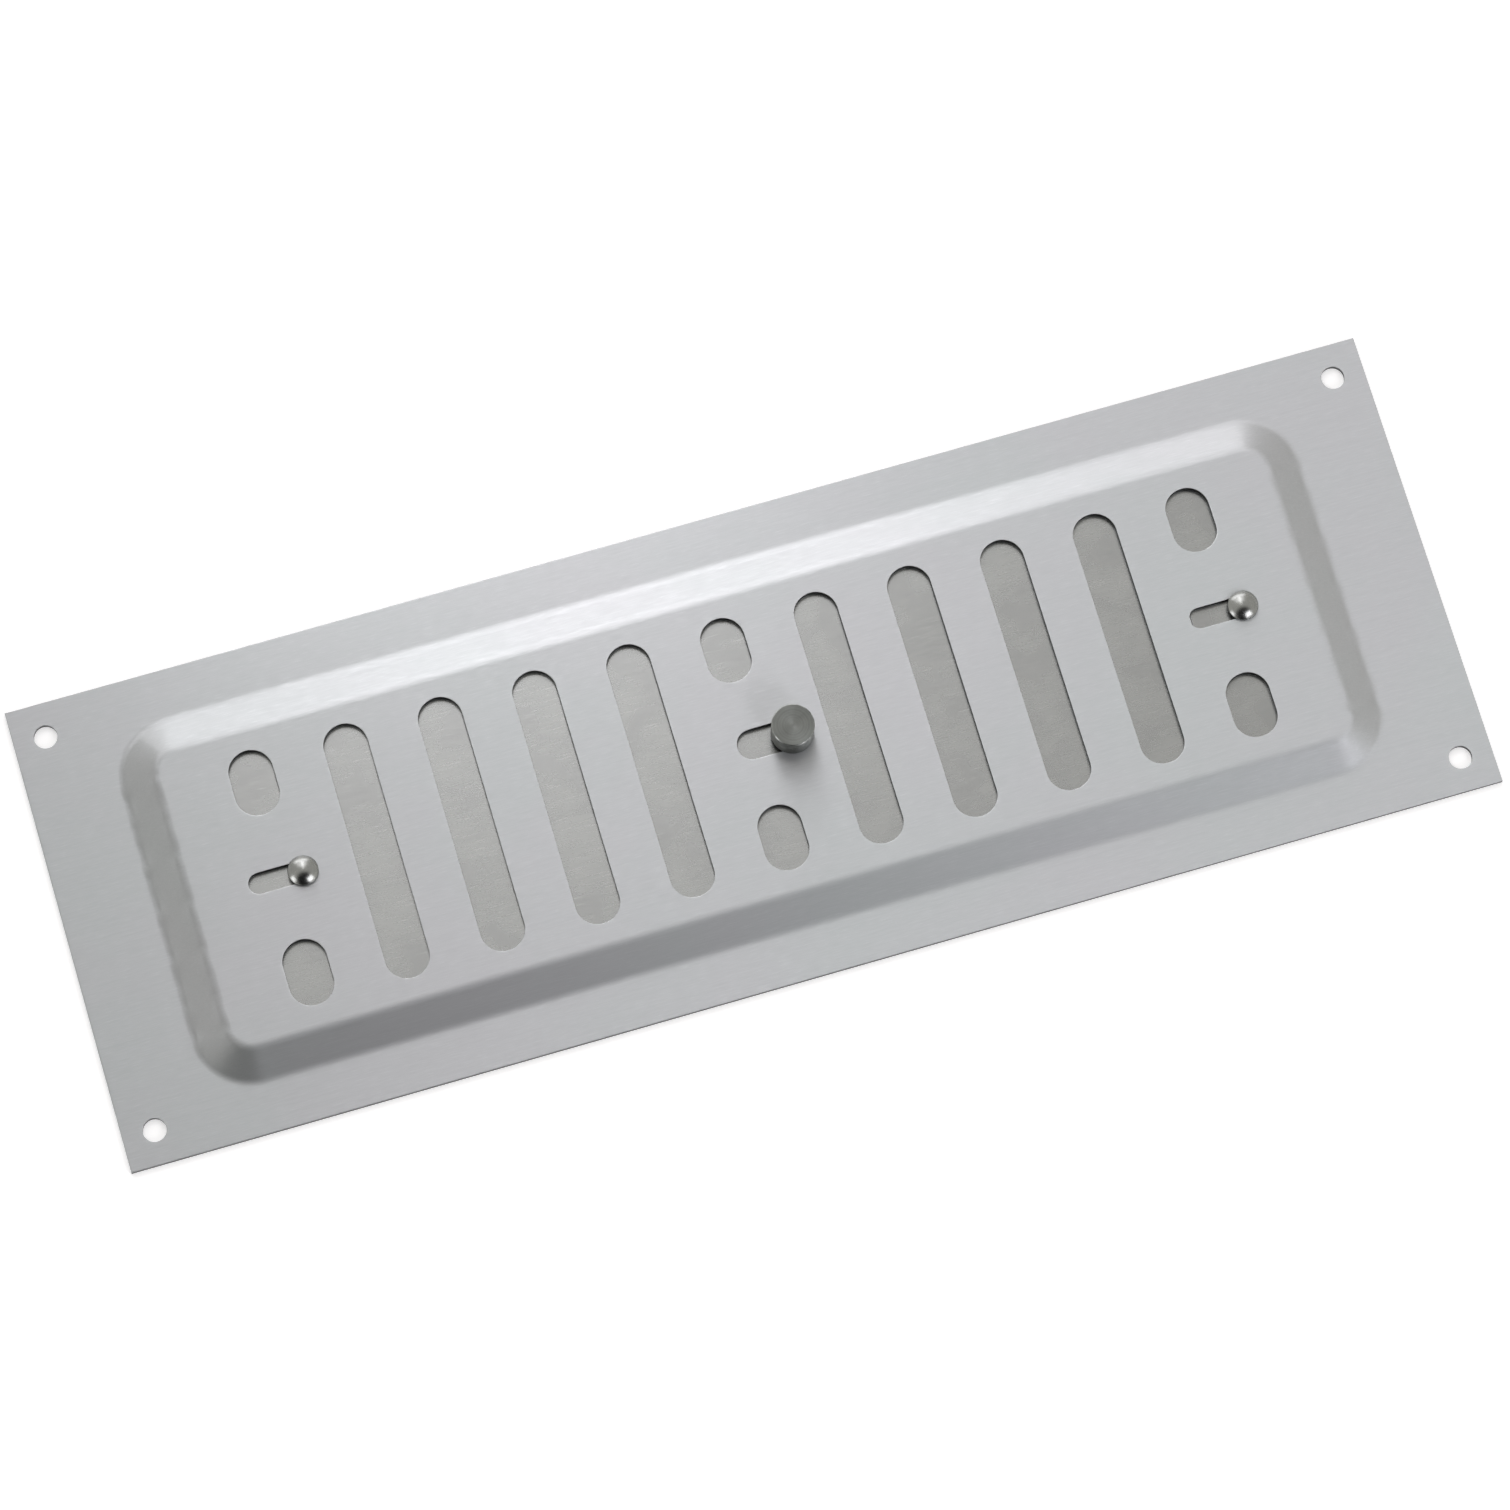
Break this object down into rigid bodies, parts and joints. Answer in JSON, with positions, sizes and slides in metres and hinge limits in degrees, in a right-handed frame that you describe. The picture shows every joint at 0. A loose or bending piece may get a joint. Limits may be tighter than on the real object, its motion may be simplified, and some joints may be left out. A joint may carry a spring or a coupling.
{
  "type": "adjustable vent grille",
  "caption": "Pressed aluminium wall vent with upright air slots and a slotted shutter behind them, slid open or shut by a small knob.",
  "frame": {"origin": "middle of the plate in the plane of the flange's back face, which lies on the wall", "axes": "+X along the plate to the right seen from the room, +Y across the plate, +Z from the wall to the room"},
  "size_m": [0.229, 0.0786, 0.0082],
  "materials": {
    "face_aluminium": "satin, fine brush marks along the plate",
    "shutter_aluminium": "mill finish, streaked",
    "knob_steel": "turned satin",
    "rivet_steel": "polished",
    "washer_steel": "zinc plated"
  },
  "bodies": {
    "face": {"face_plate": "face_aluminium"},
    "shutter": {"slide_plate": "shutter_aluminium", "control_knob": "knob_steel", "left_rivet": "rivet_steel", "right_rivet": "rivet_steel", "left_rivet_washer": "washer_steel", "right_rivet_washer": "washer_steel", "knob_washer": "washer_steel"}
  },
  "joints": [
    {"name": "shutter_slide", "type": "slide", "parent": "face", "child": "shutter", "axis": [-1, 0, 0], "range_m": [0, 0.0073]}
  ]
}
